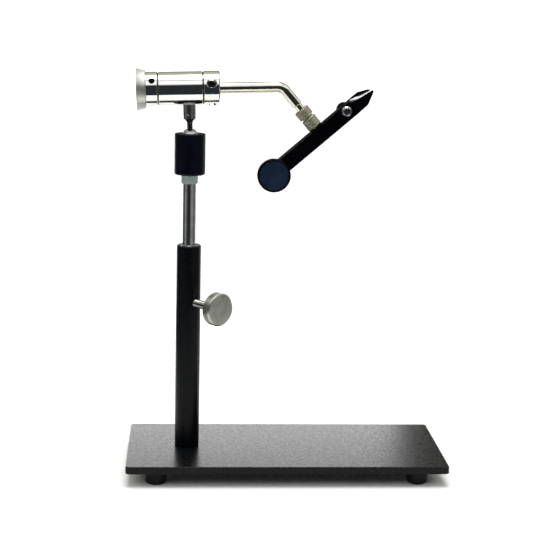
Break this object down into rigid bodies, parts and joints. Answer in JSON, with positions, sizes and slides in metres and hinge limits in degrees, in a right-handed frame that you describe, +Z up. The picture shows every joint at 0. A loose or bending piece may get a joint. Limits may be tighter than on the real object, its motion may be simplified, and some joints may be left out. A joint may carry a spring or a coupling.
{
  "type": "fly tying vise",
  "caption": "Rotary fly tying vise on a flat base: height-adjustable stem with a ball joint, turning head, bent arm and screw-closed jaws.",
  "frame": {"origin": "middle of the base plate, on the surface that the feet stand on", "axes": "+Z up along the post; +X along the plate, from the post toward the side that the jaws reach over; +Y away from the tier"},
  "size_m": [0.248, 0.104, 0.3116],
  "materials": {
    "powder_coat": "satin fine-textured black powder coat",
    "post_black": "satin black",
    "foot_rubber": "matte",
    "plated_fasteners": "zinc plated",
    "jam_nut_zinc": "blue zinc plated",
    "bush_steel": "turned",
    "polished_steel": "polished",
    "ball_chrome": "polished",
    "head_post_steel": "turned",
    "bronze": "turned bronze",
    "polished_aluminium": "polished",
    "knurled_aluminium": "fine straight knurl",
    "washer_plastic": "matte",
    "nickel": "satin nickel, knurled",
    "black_oxide": "black oxide",
    "anodised_slate": "dark slate anodised"
  },
  "bodies": {
    "base": {"base_plate": "powder_coat", "rubber_feet": "foot_rubber", "foot_screws": "plated_fasteners", "post": "post_black", "post_bolt": "plated_fasteners"},
    "height_screw": {"height_screw": "plated_fasteners"},
    "height_knob": {"height_knob": "nickel"},
    "bush": {"clamp_bush": "bush_steel"},
    "stem": {"stem": "polished_steel", "ball_seat": "bronze"},
    "jam_nut": {"jam_nut": "jam_nut_zinc"},
    "sleeve": {"clamp_sleeve": "post_black"},
    "head": {"ball_stud": "ball_chrome", "head_post": "head_post_steel", "head_post_screw": "plated_fasteners", "housing": "polished_aluminium", "rear_bearing": "bronze", "front_bearing": "bronze"},
    "rotor": {"rotary_shaft": "polished_steel", "rear_knob": "knurled_aluminium", "knob_screw": "black_oxide", "rear_ring": "polished_aluminium", "rear_ring_screw": "black_oxide", "rear_washer": "washer_plastic", "front_washer": "washer_plastic", "front_ring": "polished_aluminium", "front_ring_screws": "black_oxide", "arm": "polished_steel", "collet_ferrule": "bronze"},
    "collet_nut": {"collet_nut": "nickel"},
    "jaws": {"collet_body": "nickel", "far_jaw": "black_oxide", "guide_pin": "plated_fasteners", "jaw_spring": "plated_fasteners", "fulcrum_ring": "plated_fasteners", "adjusting_screw": "plated_fasteners"},
    "near_jaw": {"near_jaw": "black_oxide"},
    "closing_screw": {"closing_screw": "plated_fasteners"},
    "closing_knob": {"closing_knob": "anodised_slate"},
    "adjusting_washer": {"adjusting_washer": "plated_fasteners"},
    "adjusting_nut": {"adjusting_nut": "black_oxide"}
  },
  "joints": [
    {"name": "height_knob_travel", "type": "slide", "parent": "base", "child": "height_screw", "axis": [0.6374, -0.7705, 0], "range_m": [0, 0.00254]},
    {"name": "height_knob_turn", "type": "hinge", "parent": "height_screw", "child": "height_knob", "pos_m": [-0.0777, 0, 0.1335], "axis": [0.6374, -0.7705, 0], "range_deg": [0, 720]},
    {"name": "stem_swivel", "type": "hinge", "parent": "base", "child": "bush", "pos_m": [-0.0777, 0, 0.178], "axis": [0, 0, 1], "continuous": true},
    {"name": "stem_height", "type": "slide", "parent": "bush", "child": "stem", "axis": [0, 0, 1], "range_m": [-0.047, 0.03]},
    {"name": "jam_nut_turn", "type": "hinge", "parent": "stem", "child": "jam_nut", "pos_m": [-0.0777, 0, 0.2255], "axis": [0, 0, 1], "range_deg": [-180, 0]},
    {"name": "sleeve_turn", "type": "hinge", "parent": "stem", "child": "sleeve", "pos_m": [-0.0777, 0, 0.2322], "axis": [0, 0, 1], "range_deg": [0, 90]},
    {"name": "ball_tilt", "type": "hinge", "parent": "stem", "child": "head", "pos_m": [-0.0777, 0, 0.2603], "axis": [0, 1, 0], "range_deg": [-25, 25]},
    {"name": "head_spin", "type": "hinge", "parent": "head", "child": "rotor", "pos_m": [-0.07911, 0, 0.29697], "axis": [0.9993, 0, 0.0384], "continuous": true},
    {"name": "collet_nut_turn", "type": "hinge", "parent": "rotor", "child": "collet_nut", "pos_m": [-0.00896, 0, 0.29967], "axis": [0.6587, 0, -0.7524], "continuous": true},
    {"name": "jaw_turn", "type": "hinge", "parent": "rotor", "child": "jaws", "pos_m": [-0.00896, 0, 0.29967], "axis": [0.6587, 0, -0.7524], "continuous": true},
    {"name": "jaw_open", "type": "hinge", "parent": "jaws", "child": "near_jaw", "pos_m": [0.04063, -0.0015, 0.28188], "axis": [0.6587, 0, -0.7524], "range_deg": [0, 1.97]},
    {"name": "closing_screw_travel", "type": "slide", "parent": "near_jaw", "child": "closing_screw", "axis": [0, -1, 0], "range_m": [0, 0.0025]},
    {"name": "closing_knob_turn", "type": "hinge", "parent": "closing_screw", "child": "closing_knob", "pos_m": [-0.01422, 0, 0.23386], "axis": [0, -1, 0], "range_deg": [0, 900]},
    {"name": "adjusting_travel", "type": "slide", "parent": "jaws", "child": "adjusting_washer", "axis": [0, 1, 0], "range_m": [0, 0.0012]},
    {"name": "adjusting_nut_turn", "type": "hinge", "parent": "adjusting_washer", "child": "adjusting_nut", "pos_m": [0.03984, 0, 0.28278], "axis": [0, 1, 0], "range_deg": [0, 540]}
  ],
  "couplings": [
    {"joint": "height_knob_travel", "follows": "height_knob_turn", "m_per_rad": 0.00020213},
    {"joint": "closing_screw_travel", "follows": "closing_knob_turn", "m_per_rad": 0.00015915},
    {"joint": "jaw_open", "follows": "closing_knob_turn", "ratio": 0.0021832},
    {"joint": "adjusting_travel", "follows": "adjusting_nut_turn", "m_per_rad": 0.00012732}
  ]
}
